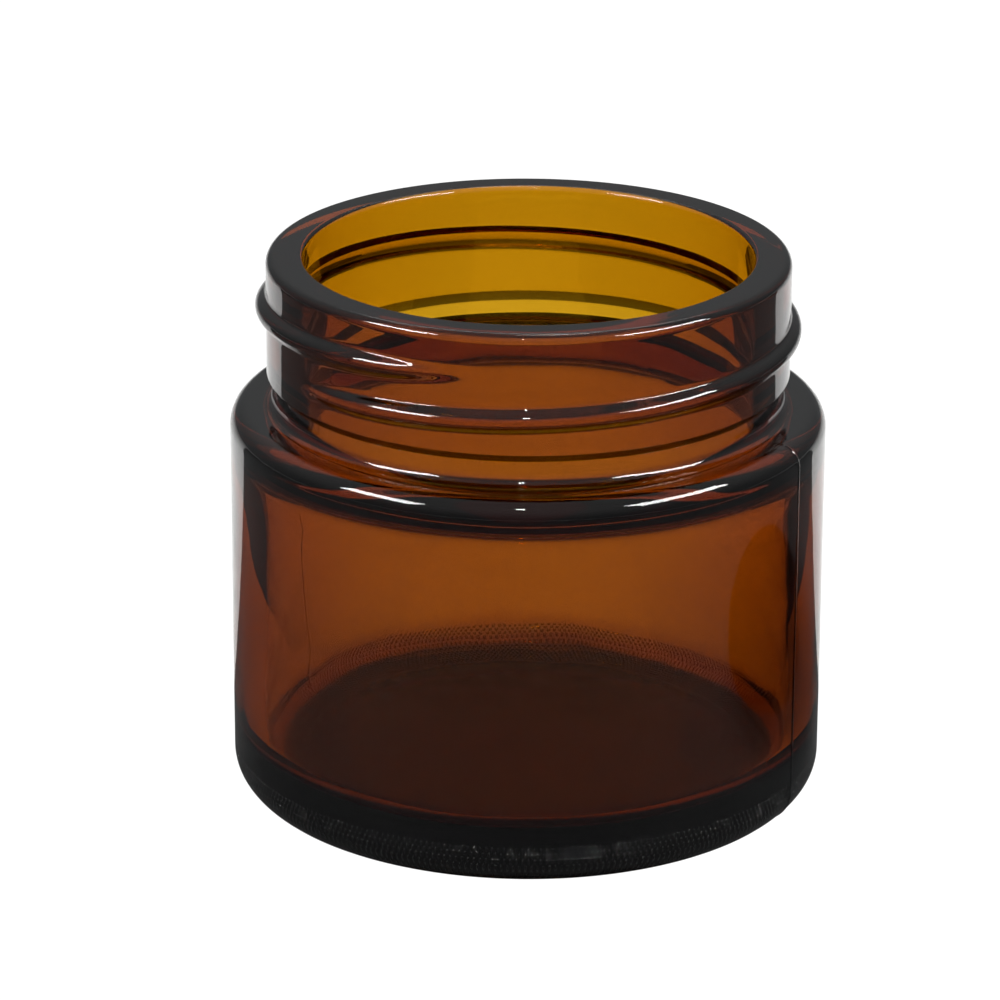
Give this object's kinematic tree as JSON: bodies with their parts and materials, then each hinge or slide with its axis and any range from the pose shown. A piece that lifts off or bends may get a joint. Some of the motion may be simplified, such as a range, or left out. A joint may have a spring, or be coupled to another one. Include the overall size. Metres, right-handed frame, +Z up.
{
  "type": "cosmetic cream jar",
  "caption": "Round wide-mouth glass cream jar with a threaded neck, open, with its lined screw lid and inner sealing disc upturned beside it.",
  "frame": {"origin": "centre of the jar's base, on the surface it stands on", "axes": "+Z up along the jar's axis; +X towards the lid that lies beside it"},
  "size_m": [0.133, 0.056, 0.0523],
  "materials": {
    "amber_glass": "clear amber, fire-polished",
    "natural_plastic": "waxy",
    "foam": "fine closed-cell foam",
    "black_plastic": "gloss outside, satin inside"
  },
  "bodies": {
    "jar": {"jar": "amber_glass"},
    "disc": {"sealing_disc": "natural_plastic"},
    "liner": {"lid_liner": "foam"},
    "lid": {"lid_shell": "black_plastic"}
  },
  "joints": [
    {"name": "lid_carry", "type": "hinge", "parent": "jar", "child": "disc", "pos_m": [0.03875, 0, 0.03445], "axis": [0, -1, 0], "range_deg": [0, 180]},
    {"name": "lid_lower", "type": "slide", "parent": "disc", "child": "liner", "axis": [0, 0, 1], "range_m": [0, 0.0129]},
    {"name": "lid_turn", "type": "hinge", "parent": "liner", "child": "lid", "pos_m": [0.0775, 0, 0.01], "axis": [0, 0, 1], "range_deg": [0, 1097.14]}
  ],
  "couplings": [
    {"joint": "lid_lower", "follows": "lid_turn", "m_per_rad": 0.00066845}
  ]
}
